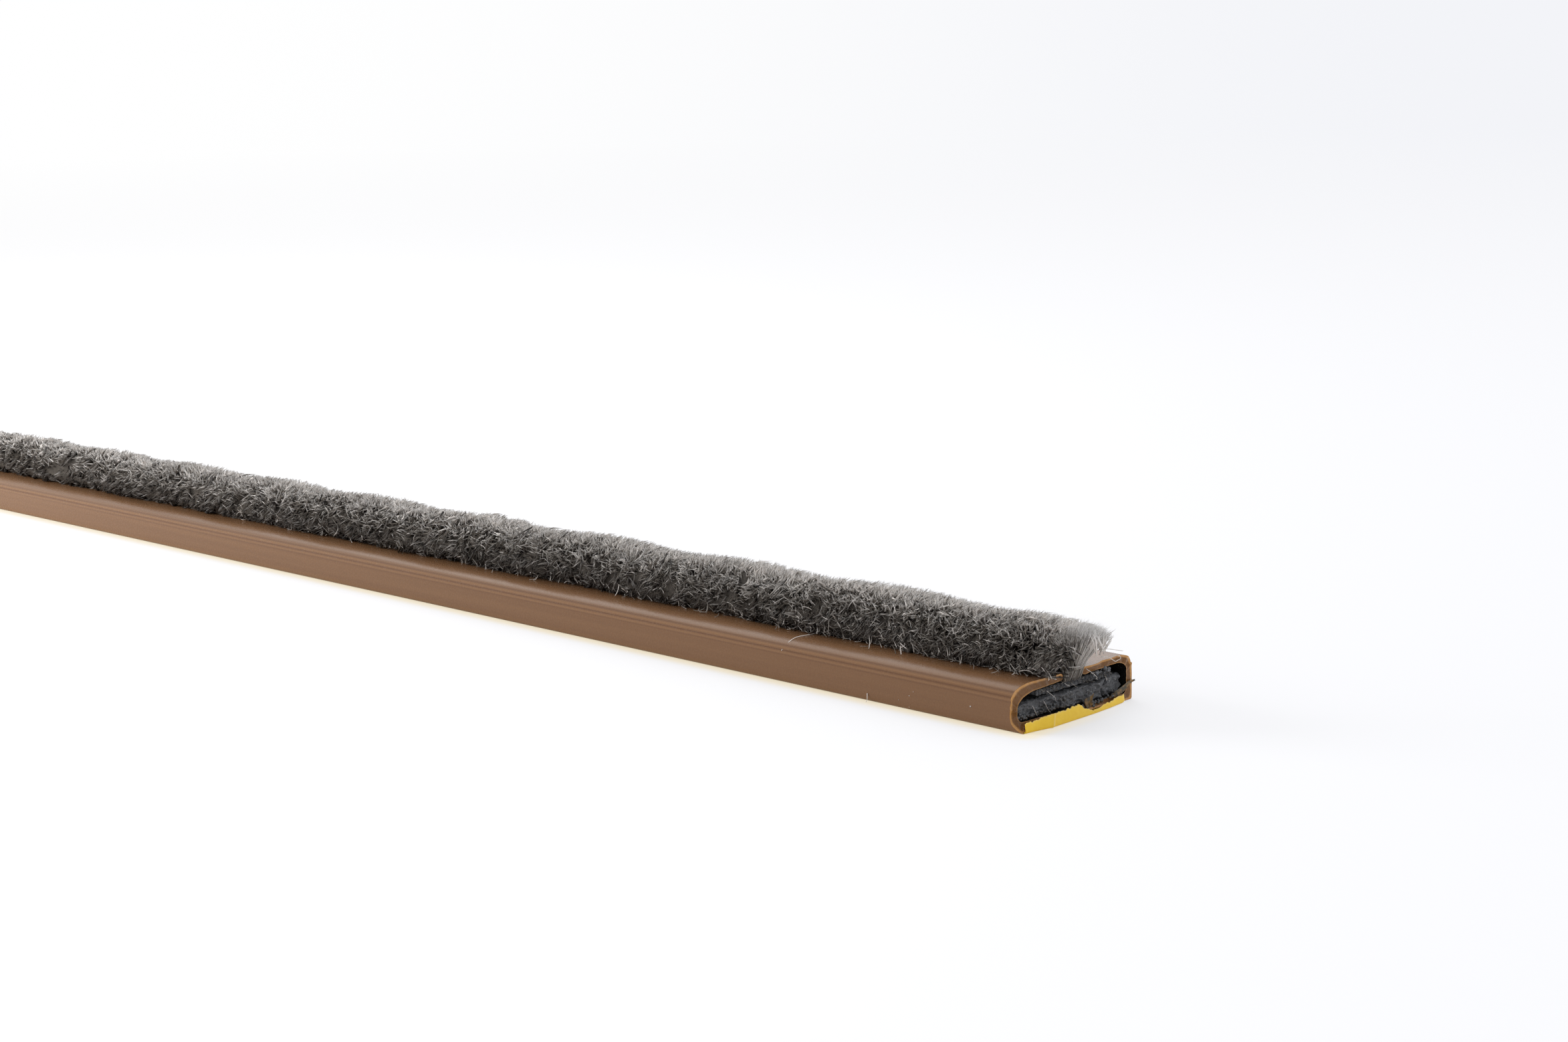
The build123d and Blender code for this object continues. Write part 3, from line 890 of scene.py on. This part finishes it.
def makeTips(p, material, rng):
    each = p["tuftFibres"]
    for name, (nearest, furthest), count, radius in p["zones"]:
        tufts = int(count * strandShare / each)
        centres = np.repeat(cut - rng.uniform(nearest, furthest, tufts), each)
        fans = np.repeat(rng.uniform(*p["ends"], tufts), each)
        tuftReach = np.repeat(rng.normal(1.0, 0.012, tufts), each)
        tuftShade = np.repeat(rng.normal(0, p["shadeSpread"][0], tufts), each)
        n = len(centres)
        coarse = (radius / 0.05) ** 0.5
        roots = centres + rng.normal(0, p["tuft"][0] * coarse, n)
        degrees = fans + rng.normal(0, p["tuft"][1] * coarse, n)
        angles = np.radians(degrees)
        middle, spread, most = p["reach"]
        reach = np.minimum(tuftReach * rng.normal(middle, spread, n), most)
        start = 1 - p["shown"] * rng.uniform(0.8, 1.2, n)
        paths, t, length = fibrePaths(roots, angles, reach, start, 3, rng)
        # They stray at right angles to their own direction, least at the tip
        outward = paths[:, 2] - np.stack([roots, 0 * roots, np.full(n, p["neckLevel"])], -1)
        outward /= np.linalg.norm(outward, axis=1, keepdims=True)
        tuftSlant = rng.normal(0, p["slant"][0], (tufts, 3))
        slant = np.repeat(tuftSlant, each, 0) + rng.normal(0, p["slant"][1], (n, 3))
        slant -= (slant * outward).sum(1, keepdims=True) * outward
        paths += slant[:, None] * ((1 - t) * length[:, None])[..., None]
        paths[:, 1] += rng.normal(0, p["kink"] * coarse, (n, 3))
        paths = overLips(paths, t)
        radii = radius * rng.uniform(0.7, 1.3, n)[:, None] * np.array([1.0, 0.95, 0.4])
        made = strandMesh(name, paths, radii, rng)
        # At the cut the far side's fibres are seen against the light, so they are painted paler as
        # backlit
        reachBack, between, paler, further = p["backlitAtCut"]
        backlitAtCut = np.exp((roots - cut) / reachBack) * risen(degrees, *between)
        # Painted light and shade: the upper fibres paler and the lower ones darker, on a tone that
        # differs at random
        low, more, between = p["shade"]
        shade = low + more * risen(degrees, *between) + tuftShade + paler * backlitAtCut
        shade = np.clip(shade + rng.normal(0, p["shadeSpread"][1], n), 0, 1)
        # The lowest fibres keep more of the root's painted shade
        low, more, between = p["lit"]
        along = t * (low + more * risen(degrees, *between))[:, None]
        along += (1 - along) * further * np.minimum(backlitAtCut, 1)[:, None]
        addStrands(made, material, fibreNames, along, shade)


# The fibres at the cut itself show from the backing to their tips: a tangle on the near side, and
# long ones on the far side, painted pale as seen against the light
cutFan = {
    "fibres": 2400,
    "depth": 2.2,  # mm back from the cut
    "ends": (-80, 50),
    "farFrom": (-48, -8),  # the near side gives way to the far one between these degrees
    "reach": (0.96, 0.05),
    "astray": 0.22,  # mm
    "radius": 0.04,
    "taper": (1.0, 1.0, 1.0, 0.9, 0.3),
    "shade": (0.3, 0.6, 0.4),  # of the near side, what the far one has more as painted backlight, and the spread
    "along": (0.78, 0.12, 0.1),  # at the near side's roots, more on the far one as painted backlight, more at the tips
}


def makeCutFan(c, material, rng):
    n = int(c["fibres"] * strandShare)
    roots = cut - rng.uniform(0.0, c["depth"], n)
    angles = np.radians(rng.uniform(*c["ends"], n))
    reach = rng.normal(*c["reach"], n)
    steps = len(c["taper"])
    paths, t, _ = fibrePaths(roots, angles, reach, np.zeros(n), steps, rng)
    far = risen(np.degrees(angles), *c["farFrom"])
    paths += rng.normal(0, c["astray"], (n, 1, 3)) * (t * (1.3 - far[:, None]))[..., None]
    paths = overLips(paths, t)
    radii = c["radius"] * rng.uniform(0.75, 1.25, n)[:, None] * np.array(c["taper"])
    made = strandMesh("pileCutFan", paths, radii, rng)
    # The far side's fibres are painted paler as backlit
    near, more, spread = c["shade"]
    shade = np.clip(near + more * far + rng.normal(0, spread, n), 0, 1)
    near, more, atTip = c["along"]
    addStrands(made, material, fibreNames, near + more * far[:, None] + atTip * t, shade)


# A dark column of fibres fills the slot at the cut. Each has three points
neck = {
    "fibres": 500,
    "depth": 1.1,  # mm back from the cut
    "levels": (pile["rootLevel"], 3.6, 4.6),
    "forward": (0, 0.15, 0.6),
    "wider": (1.0, 1.0, 1.3),
    "astray": (0.12, 0.06),  # mm, in level and on both axes
    "radius": 0.05,
    "shade": (0.3, 0.3),
    "along": 0.86,
}


def makeNeck(c, material, rng):
    n = int(c["fibres"] * strandShare)
    x = cut + snipReach(0, 3.4) - 0.1 - rng.uniform(0, c["depth"], n)
    y = rng.uniform(-1, 1, n) * pile["neckHalfWidth"]
    x, y = x[:, None] + np.array(c["forward"]), y[:, None] * np.array(c["wider"])
    z = np.array(c["levels"]) + rng.normal(0, c["astray"][0], (n, 3)) * (0, 1, 1)
    paths = np.stack([x, y, z], -1)
    paths[:, 1:] += rng.normal(0, c["astray"][1], (n, 2, 3))
    radii = np.full((n, 3), c["radius"]) * (1, 1, 0.5)
    made = strandMesh("pileNeck", paths, radii, rng)
    addStrands(made, material, fibreNames, c["along"], np.clip(rng.normal(*c["shade"], n), 0, 1))


# Loose fibres curl over the near lip
curls = {
    "fibres": 1300,
    "nearCut": (0.55, (0.2, 32), (32, 120)),  # share of them, and mm from the cut of both lots
    "ends": (-96, -62),
    "reach": (0.75, 0.99),  # of the fan's, where they leave it
    "length": (0.6, 1.7),  # mm
    "heading": (0.9, 95),  # radians at the start, and the spread of their turning in degrees
    "flat": 0.7,  # they rise by this share of that, and
    "sinking": 0.15,  # sink by this share of their length
    "outward": (-0.2, 0.35),
    "overLip": (0.05, 0.12),  # mm
    "radius": 0.036,
    "shade": (0.42, 0.3),
    "along": 0.88,
}


def makeCurls(c, material, rng):
    n, steps = int(c["fibres"] * strandShare), 9
    share, nearest, further = c["nearCut"]
    nearCut = rng.random(n) < share
    roots = cut - np.where(nearCut, rng.uniform(*nearest, n), rng.uniform(*further, n))
    angles = np.radians(rng.uniform(*c["ends"], n))
    length = fanReach(angles, roots) * rng.uniform(*c["reach"], n)
    t = np.linspace(0, 1, steps)[None]
    y0 = length * np.sin(angles) * 0.9
    z0 = pile["neckLevel"] + length * np.cos(angles) * 0.9
    first, turning = c["heading"]
    heading = rng.uniform(-first, first, n)[:, None]
    heading = heading + np.radians(rng.normal(0, turning, n))[:, None] * t
    size = rng.uniform(*c["length"], n)[:, None] / (steps - 1)
    stepX = np.cos(heading) * size
    stepZ = np.sin(heading) * size * c["flat"] - c["sinking"] * size
    x = roots[:, None] + leanAt(angles)[:, None] * length[:, None] * 0.6 + np.cumsum(stepX, 1)
    z = z0[:, None] + np.cumsum(stepZ, 1)
    stepY = rng.normal(*c["outward"], (n, 1)) * size * np.ones((1, steps))
    y = y0[:, None] + np.cumsum(stepY, 1)
    least, most = c["overLip"]
    z = np.maximum(z, channel["lipTop"] + least + rng.uniform(0, most, n)[:, None])
    y = np.maximum(y, -half + 1.6)
    taper = np.append(np.ones(steps - 1), 0.4)
    radii = c["radius"] * rng.uniform(0.8, 1.2, n)[:, None] * taper
    made = strandMesh("pileCurls", np.stack([x, y, z], -1), radii, rng)
    addStrands(made, material, fibreNames, c["along"], np.clip(rng.normal(*c["shade"], n), 0, 1))


# The dense inside of the pile, one closed body that ends short of the cut, nearly black as painted
# shade between the fibres
heart = {
    "share": 0.8,  # of the fan's reach
    "from": (299.5, 5.6),  # mm from the cut
    "sections": 150,
    "farShare": 0.93,  # the far end is smaller by this,
    "rounded": ((5.0, 0.85), (4.6, 0.45)),  # and the near one: mm from the cut, and share
    "ends": (-91, 49),
    "neckHalf": 1.1,
    "rough": (0.1, (0.6, 0.5, 1)),  # depth and size of its lumps
}


def makeHeart(c, material):
    places, shares = np.array(c["rounded"]).T
    fromCut = np.concatenate([np.linspace(*c["from"], c["sections"]), places])
    shares = np.concatenate([[c["farShare"]], np.ones(c["sections"] - 1), shares])
    angles = np.radians(np.linspace(*c["ends"], 41))
    roots = (cut - fromCut)[:, None] + 0 * angles[None]
    reach = fanReach(angles[None], roots) * (c["share"] * shares)[:, None]
    depth, size = c["rough"]
    reach += depth * lumps(np.stack([roots, reach * angles, 0 * roots], -1), size, 51)
    y, z = reach * np.sin(angles), pile["neckLevel"] + reach * np.cos(angles)
    z = np.maximum(z, channel["lipTop"] + 0.06)
    fan = np.stack([roots + leanAt(angles) * reach * 0.95, y, z], -1)
    low, top, side = pile["rootLevel"], z.min(), c["neckHalf"]
    stem = np.array([(0, side, top), (0, side, low), (0, -side, low), (0, -side, top)])
    stem = stem[None] + roots[:, :1, None] * (1, 0, 0)
    ring = np.concatenate([fan, stem, fan[:, :1]], 1)
    rows, columns = ring.shape[:2]
    caps = []
    for row, centre in ((0, rows * columns), (rows - 1, rows * columns + 1)):
        edge = row * columns + np.arange(columns)
        spokes = np.stack([np.full(columns - 1, centre), edge[1:], edge[:-1]], -1)
        caps.append(spokes[:, ::-1] if row else spokes)
    points = np.concatenate([ring.reshape(-1, 3), ring[[0, -1], :-1].mean(1)])
    mesh = meshFrom("pileHeart", points, gridFaces(rows, columns, flip=True), *caps)
    addPiece(mesh, material, *fibreNames)


# The pile's heart: the same fibre seen end on and from the side, painted nearly black as the shade
# deep in the pile
heartShade = {
    "dark": "#1a1612",
    "light": "#5c554d",
    "strandMm": (0.12, 0.12, 1.2),
    "turned": -30,  # degrees, as the fibres lean
    "bump": (0.8, 0.1),
    "roughness": 0.8,
    "ior": 1.49,
}


def heartShadeFibre(tree, f):
    strands = noise(tree, f["strandMm"], 2.0, f["turned"])
    colour = mixed(tree, strands, f["dark"], f["light"])
    return principled(tree, f, colour, strands)


strandMaterial = newMaterial("drawn_polypropylene_fibre", drawnFibre, fibre)
fibreRandom = np.random.default_rng(11)
makeTips(pile, strandMaterial, fibreRandom)
makeCutFan(cutFan, strandMaterial, fibreRandom)
makeNeck(neck, strandMaterial, fibreRandom)
makeCurls(curls, strandMaterial, fibreRandom)
makeHeart(heart, newMaterial("pile_heart_painted_shade", heartShadeFibre, heartShade))
makeBacking(backing, newMaterial("woven_polypropylene_tape", wovenTape, weave))
makeFuzz(backing, strandMaterial, fibreRandom)
print("pile combed out")


# What the snip left on the cut face: graphite crumbs, shavings of the channel and stuck fibres
debris = {
    "crumbs": 170,
    "crumbSize": (0.05, 0.17),  # mm
    "crumbRuns": (  # across and level of the two ends, spread, share of the crumbs
        ((-6.4, 0.95), (-0.9, 1.12), 0.08, 0.45),
        ((0.5, 0.45), (5.8, 0.65), 0.09, 0.35),
        ((2.6, 3.05), (4.6, 3.1), 0.07, 0.2),
    ),
    "shaving": ((1.27, 1.08), (2.14, 1.5), (2.36, 0.42), (1.32, 0.26)),  # across and level
    "film": (  # across, level and width
        (7.74, 1.62, 0.12), (6.9, 1.55, 0.3), (6.2, 1.2, 0.5), (5.4, 0.88, 0.5), (4.5, 0.62, 0.14),
    ),
    "thin": 0.03,  # thickness of both
    "hairs": (  # across and level of the points, mm in front of the face at the middle
        ((-1.59, 4.42), (-0.8, 4.3), (0, 4.2), (0.68, 4.1), 0.7),
        ((-3.3, 2.69), (-2.85, 2.3), (-2.4, 1.95), (-2.12, 1.61), 0.3),
        ((-4.88, 1.71), (-4.75, 1.4), (-4.6, 1.1), (-4.43, 0.78), 0.15),
        ((-3.54, 1.88), (-3.35, 1.5), (-3.1, 1.1), (-2.82, 0.77), 0.15),
        ((1.44, 3.71), (1.9, 3.3), (2.4, 2.9), (2.88, 2.45), 0.5),
        ((4.04, 2.55), (4.1, 2.4), (4.18, 2.3), (4.24, 2.16), 0.1),
        ((-1.1, 2.9), (-0.95, 2.75), (-0.7, 2.68), (-0.45, 2.55), 0.2),
        ((3.3, 4.95), (4.3, 4.85), (5.3, 4.6), (6.44, 4.3), 0.1),
    ),
    "curl": (  # across, level, mm past the cut
        (3.4, 4.37, 0.0), (4.3, 4.14, 0.1), (5.02, 3.7, 0.2), (5.32, 3.74, 0.2), (5.69, 3.77, 0.2),
        (5.8, 3.98, 0.1), (5.5, 4.04, 0),
    ),
    "specks": (  # on the near wall: mm from the cut, level, size in mm
        (4.86, 1.45, 0.13), (11.63, 1.24, 0.07), (11.17, 1.65, 0.06), (12.85, 0.69, 0.06),
        (11.65, 0.26, 0.05),
    ),
    "looseHairs": (  # mm from the cut, across, level
        ((26.75, -7.53, 2.86), (26.5, -6.3, 3.74), (26.2, -4.5, 3.84), (25.9, -2.77, 3.84)),
        ((16.46, -7.53, 0.68), (16.4, -7.6, 0.45), (16.25, -7.8, 0.2), (16.1, -8.1, 0.04)),
    ),
    "hairRadius": 0.034,
}


def onFace(y, z, ahead):
    return np.stack([cut + snipReach(np.asarray(y), np.asarray(z)) + ahead, y, z], -1)


# Smooth path through a few points, by Catmull and Rom's rule
def smoothPath(points, steps=16):
    points = np.asarray(points, float)
    points = np.concatenate([2 * points[:1] - points[1:2], points, 2 * points[-1:] - points[-2:-1]])
    place = np.linspace(0, len(points) - 3, steps)
    i = np.minimum(place.astype(int), len(points) - 4)
    t = (place - i)[:, None]
    a, b, c, d = (points[i + k] for k in range(4))
    square, cube = 2 * a - 5 * b + 4 * c - d, 3 * b - a - 3 * c + d
    return 0.5 * (2 * b + (c - a) * t + square * t**2 + cube * t**3)


def unitBall():
    shape = bmesh.new()
    bmesh.ops.create_icosphere(shape, subdivisions=2, radius=1.0)
    ball = np.array([v.co for v in shape.verts])
    tris = np.array([[v.index for v in f.verts] for f in shape.faces])
    shape.free()
    return ball, tris


def makeCrumbs(c, material, rng):
    ball, tris = unitBall()
    points, faces = [], []
    for start, end, spread, share in c["crumbRuns"]:
        for _ in range(int(c["crumbs"] * share)):
            t = rng.random()
            y, z = np.array(start) * (1 - t) + np.array(end) * t + rng.normal(0, spread, 2)
            size = rng.uniform(*c["crumbSize"]) * rng.uniform(0.7, 1.3, 3)
            rough = 1 + 0.35 * lumps(ball + rng.uniform(0, 99, 3), 0.8, 101)
            middle = onFace(y, max(z, 0.25), rng.uniform(-0.2, 0.08))
            faces.append(tris + len(points) * len(ball))
            points.append(middle + ball * rough[:, None] * size)
    mesh = meshFrom("coreCrumbs", np.concatenate(points), np.concatenate(faces))
    addPiece(mesh, material, "graphite_core")


def makeSpecks(c, material):
    ball, tris = unitBall()
    fromCut, level, size = np.array(c["specks"]).T
    places = np.stack([cut - fromCut, 0 * fromCut - half - 0.02, level], -1)
    points = places[:, None] + ball * size[:, None, None] * (0.5, 0.3, 0.5)
    faces = tris + len(ball) * np.arange(len(places))[:, None, None]
    mesh = meshFrom("wallSpecks", points.reshape(-1, 3), faces.reshape(-1, 3))
    count = points[..., 0].size
    addPiece(mesh, material, "pile_fibre", along=np.full(count, 0.97), shade=np.full(count, 0.8))


# A torn triangle of PVC over the paper's tear, and a thin film that curls off the far wall
def makeShavings(c, material):
    u, v = np.meshgrid(np.linspace(0, 1, 18), np.linspace(0, 1, 18))
    a, b, far, d = (np.array(corner) for corner in c["shaving"])
    flat = ((1 - u) * (1 - v))[..., None] * a + (u * (1 - v))[..., None] * b
    flat = flat + (u * v)[..., None] * far + ((1 - u) * v)[..., None] * d
    places = np.stack([*np.moveaxis(flat, -1, 0), 0 * u], -1)
    flat += 0.05 * np.stack([lumps(places, 0.3, seed) for seed in (111, 112)], -1)
    ahead = 0.15 + 0.3 * u * (1 - v) + 0.12 * np.sin(3 * u + 2 * v)
    sheet = onFace(flat[..., 0], flat[..., 1], ahead)
    path = smoothPath([p[:2] for p in c["film"]], 40)
    width = smoothPath([(p[2], 0) for p in c["film"]], 40)[:, 0]
    side = np.linspace(-0.5, 0.5, 9)
    along = np.gradient(path, axis=0)
    across = np.stack([-along[:, 1], along[:, 0]], -1) / np.linalg.norm(along, axis=1)[:, None]
    strip = path[:, None] + across[:, None] * (width[:, None] * side)[..., None]
    away = 0.12 + 0.25 * side[None] ** 2 + 0.1 * np.sin(np.linspace(0, 4, 40))[:, None]
    film = onFace(strip[..., 0], strip[..., 1], away)
    sheets, faces, count = [], [], 0
    for grid in (sheet, film):
        rows, columns = grid.shape[:2]
        edge = count + edgeOf(rows, columns)
        for shift, flip in ((0.0, True), (-c["thin"], False)):
            sheets.append((grid + (shift, 0, 0)).reshape(-1, 3))
            faces.append(gridFaces(rows, columns, count, flip))
            count += rows * columns
        faces.append(bandFaces(edge, edge + rows * columns))
    mesh = meshFrom("cutShavings", np.concatenate(sheets), *faces)
    addPiece(mesh, material, "carrier_pvc")


def makeStuckHairs(c, material, rng):
    paths = []
    for *points, ahead in c["hairs"]:
        flat = smoothPath(points)
        bulge = ahead * np.sin(np.linspace(0.3, math.pi - 0.3, 16)) + 0.02 * rng.normal(size=16)
        paths.append(onFace(flat[:, 0], flat[:, 1], bulge))
    flat = smoothPath(c["curl"])
    paths.append(np.stack([cut + flat[:, 2], flat[:, 0], flat[:, 1]], -1))
    for points in c["looseHairs"]:
        paths.append(smoothPath(np.array(points) * (-1, 1, 1) + (cut, 0, 0)))
    paths = np.stack(paths)
    radii = np.full(paths.shape[:2], c["hairRadius"]) * np.append(np.ones(15), 0.4)
    made = strandMesh("stuckHairs", paths, radii, rng)
    addStrands(made, material, ("pile_fibre",), 0.97, 0.8)


# Shaved PVC: thin enough to show light through its brown, paler and orange in patches
shaved = {
    "dark": "#5c5446",
    "edge": "#b08d5e",
    "foldMm": 0.35,
    "foldRange": (0.42, 0.66),
    "roughness": 0.35,
    "ior": 1.53,
    "lets": 0.35,  # share of light that passes through
}


def shavedPvc(tree, p):
    share = ranged(tree, noise(tree, p["foldMm"], 4.0), *p["foldRange"])
    colour = mixed(tree, share, p["dark"], p["edge"])
    return seeThrough(tree, p, colour)


makeCrumbs(debris, coreMaterial, fibreRandom)
makeSpecks(debris, strandMaterial)
makeShavings(debris, newMaterial("shaved_thin_PVC", shavedPvc, shaved))
makeStuckHairs(debris, strandMaterial, fibreRandom)
print("cut face littered")


# Studio: a pale floor that keeps the shadow, and soft light, mostly from above and behind
studio = {
    "floorColour": "#f3f3f5",
    "glow": "#fff0cc",  # painted yellow light on the floor beside the wall, as from the liner
    "paintedGlowReach": 2.0,  # mm that the painted glow reaches
    "seen": ("#ffffff", "#f3f4f8"),  # the backdrop's two colours: white, and a faint blue-grey that is painted shade
    "pole": (0.4, -0.3),  # m, the painted shade turns about this place on the floor
    "turn": (0.87, 0.5),  # how far west the first colour and the second one lie
    "shadowKept": 0.42,  # share of the floor's own shading that the camera sees
    "fadeOut": (0.5, 1.6),  # m from the strip, where the floor melts into the backdrop
    "skyTo": (-0.35, 0.75, 0.55),  # the brightest part of the sky lies this way
    "skySpread": (-0.6, 0.9),  # how squarely its dimmest and brightest parts face that way
    "sky": (0.32, 1.12),  # and their strength
    "sun": (-142, 44, 60, 0.95),  # turned to, height and width in degrees, strength
    "left": ((-250, -190, 80), 240, 2.1),  # place in mm, size in mm, watts
    "leftAim": (-60, 0, 0),  # mm
}


# 1 for the rays that show the backdrop: the camera's, and those mirrored or passed through
def backdropRays(tree):
    rays = addNode(tree, "LightPath", {}).node.outputs
    mirrored = maths(tree, "MAXIMUM", rays["Is Glossy Ray"], rays["Is Transmission Ray"])
    return maths(tree, "MAXIMUM", rays["Is Camera Ray"], mirrored)


# White on one side and faintly blue-grey, as painted shade, on the others, by the level direction
def backdropWithPaintedShade(s, tree, away):
    flat = vectorMaths(tree, "NORMALIZE", vectorMaths(tree, "MULTIPLY", away, (1, 1, 0)))
    west = vectorMaths(tree, "DOT_PRODUCT", flat, (-1, 0, 0), output="Value")
    share = ranged(tree, west, *s["turn"], shape="SMOOTHSTEP")
    return mixed(tree, share, *s["seen"])


def makeSky(s):
    world = bpy.data.worlds.new("studio")
    bpy.context.scene.world = world
    world.use_nodes = True
    tree = world.node_tree
    tree.nodes.clear()
    way = addNode(tree, "TexCoord", {}, "Generated")
    toward = vectorMaths(tree, "DOT_PRODUCT", way, s["skyTo"], output="Value")
    level = ranged(tree, toward, *s["skySpread"], *s["sky"])
    lit = addNode(tree, "Background", {"Color": "#ffffff", "Strength": level})
    seen = addNode(tree, "Background", {"Color": backdropWithPaintedShade(s, tree, way), "Strength": 1.0})
    both = addNode(tree, "MixShader", {0: backdropRays(tree), 1: lit, 2: seen})
    endTree(tree, both, "OutputWorld")


def addLamp(name, kind, **settings):
    data = bpy.data.lights.new(name, kind)
    for key, value in settings.items():
        setattr(data, key, value)
    return addObject(name, data)


def makeLamps(s):
    turned, height, width, strength = s["sun"]
    sun = addLamp("backLight", "SUN", energy=strength, angle=math.radians(width))
    sun.rotation_euler = (math.radians(90 - height), 0, math.radians(turned))
    place, size, power = s["left"]
    lamp = addLamp("leftLight", "AREA", shape="SQUARE", size=size * mm, energy=power)
    lamp.location = Vector(place) * mm
    lamp.visible_glossy = False  # so it leaves no bright line on the shoulder
    toAim = Vector(s["leftAim"]) * mm - lamp.location
    lamp.rotation_euler = toAim.to_track_quat("-Z", "Y").to_euler()


# Matt white table: where the camera sees it, part of its colour is the backdrop's
def matWhiteTable(tree, s):
    place = objectPlace(tree)
    fromPole = vectorMaths(tree, "SUBTRACT", place, (*s["pole"], 0))
    # The painted glow of yellow light lies along the strip's near side and fades with the distance
    # from it
    stripCorner = (channel["length"] / 2 * mm, half * mm, 0)
    outside = vectorMaths(tree, "SUBTRACT", vectorMaths(tree, "ABSOLUTE", place), stripCorner)
    fromStrip = vectorMaths(tree, "LENGTH", vectorMaths(tree, "MAXIMUM", outside), output="Value")
    across = addNode(tree, "SeparateXYZ", {0: place}, 1)
    nearSide = ranged(tree, across, -half * mm, 0.5 * half * mm, 1.0, 0.0)
    paintedGlowShare = ranged(tree, fromStrip, 0.0, s["paintedGlowReach"] * mm, nearSide, 0.0, "SMOOTHERSTEP")
    colour = mixed(tree, paintedGlowShare, backdropWithPaintedShade(s, tree, fromPole), s["glow"])
    matt = addNode(tree, "BsdfDiffuse", {"Color": s["floorColour"]})
    white = addNode(tree, "Emission", {"Color": colour, "Strength": 1.0})
    away = vectorMaths(tree, "LENGTH", place, output="Value")
    melted = ranged(tree, away, *s["fadeOut"], 1 - s["shadowKept"], 1.0)
    share = maths(tree, "MULTIPLY", backdropRays(tree), melted)
    return addNode(tree, "MixShader", {0: share, 1: matt, 2: white})


makeSky(studio)
makeLamps(studio)
bpy.ops.mesh.primitive_plane_add(size=30.0, location=(0, 0, 0))
floor = bpy.context.object
floor.name = "floor"
floor.data.materials.append(newMaterial("matt_white_table", matWhiteTable, studio))
bpy.context.scene.view_settings.view_transform = "Standard"
print("studio lit")
